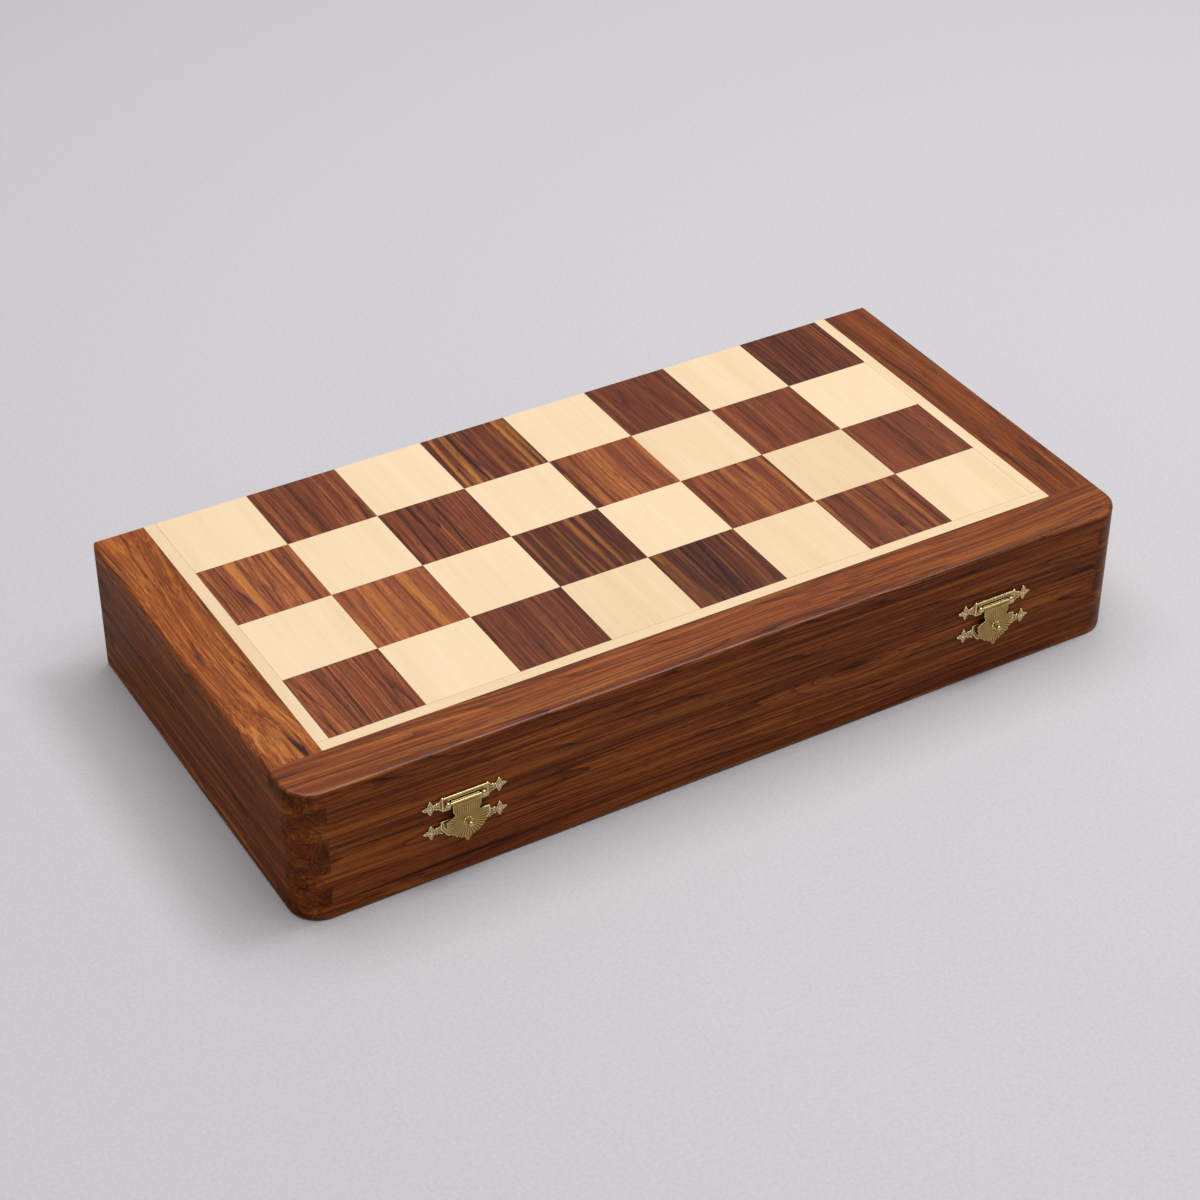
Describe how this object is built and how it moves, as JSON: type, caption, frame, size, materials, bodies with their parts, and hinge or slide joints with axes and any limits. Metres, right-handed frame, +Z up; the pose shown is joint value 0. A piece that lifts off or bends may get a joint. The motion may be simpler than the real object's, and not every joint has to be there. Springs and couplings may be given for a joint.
{
  "type": "folding chessboard box",
  "caption": "Folding chessboard box: shallow hinged wooden trays that close into a flat box for the chessmen and open flat into the playing board, held by front clasps.",
  "frame": {"origin": "centre of the closed box's footprint, on the surface that it rests on", "axes": "+X along the length, to the right when the clasps face you; -Y towards the clasps, +Y towards the hinges; +Z up"},
  "size_m": [0.356, 0.186, 0.057],
  "materials": {
    "wall_wood": "satin lacquered rosewood, grain along the wall",
    "rail_wood": "satin lacquered rosewood",
    "core_wood": "birch plywood",
    "dark_wood": "satin lacquered rosewood veneer squares",
    "pale_wood": "satin lacquered maple",
    "cloth": "green baize",
    "brass": "brushed brass"
  },
  "bodies": {
    "base": {"base_front_wall": "wall_wood", "base_back_wall": "wall_wood", "base_left_wall": "wall_wood", "base_right_wall": "wall_wood", "base_front_rail": "rail_wood", "base_left_rail": "rail_wood", "base_right_rail": "rail_wood", "base_core_panel": "core_wood", "base_dark_squares": "dark_wood", "base_light_squares": "pale_wood", "base_front_strip": "pale_wood", "base_left_strip": "pale_wood", "base_right_strip": "pale_wood", "base_lining": "cloth", "left_hinge_base_leaf": "brass", "left_hinge_pin": "brass", "left_strike_plate": "brass", "left_strike_stud": "brass", "right_hinge_base_leaf": "brass", "right_hinge_pin": "brass", "right_strike_plate": "brass", "right_strike_stud": "brass", "base_hinge_screws": "brass", "base_clasp_nails": "brass"},
    "lid": {"lid_front_wall": "wall_wood", "lid_back_wall": "wall_wood", "lid_left_wall": "wall_wood", "lid_right_wall": "wall_wood", "lid_front_rail": "rail_wood", "lid_left_rail": "rail_wood", "lid_right_rail": "rail_wood", "lid_core_panel": "core_wood", "lid_dark_squares": "dark_wood", "lid_light_squares": "pale_wood", "lid_front_strip": "pale_wood", "lid_left_strip": "pale_wood", "lid_right_strip": "pale_wood", "lid_lining": "cloth", "left_hinge_lid_leaf": "brass", "left_clasp_plate": "brass", "left_clasp_pin": "brass", "right_hinge_lid_leaf": "brass", "right_clasp_plate": "brass", "right_clasp_pin": "brass", "lid_hinge_screws": "brass", "lid_clasp_nails": "brass"},
    "left_hasp": {"left_hasp": "brass"},
    "right_hasp": {"right_hasp": "brass"}
  },
  "joints": [
    {"name": "lid_hinge", "type": "hinge", "parent": "base", "child": "lid", "pos_m": [0, 0.08915, 0.0285], "axis": [-1, 0, 0], "range_deg": [0, 180]},
    {"name": "left_hasp_pivot", "type": "hinge", "parent": "lid", "child": "left_hasp", "pos_m": [-0.1136, -0.0907, 0.0338], "axis": [-1, 0, 0], "range_deg": [0, 150]},
    {"name": "right_hasp_pivot", "type": "hinge", "parent": "lid", "child": "right_hasp", "pos_m": [0.1166, -0.0907, 0.0338], "axis": [-1, 0, 0], "range_deg": [0, 150]}
  ]
}
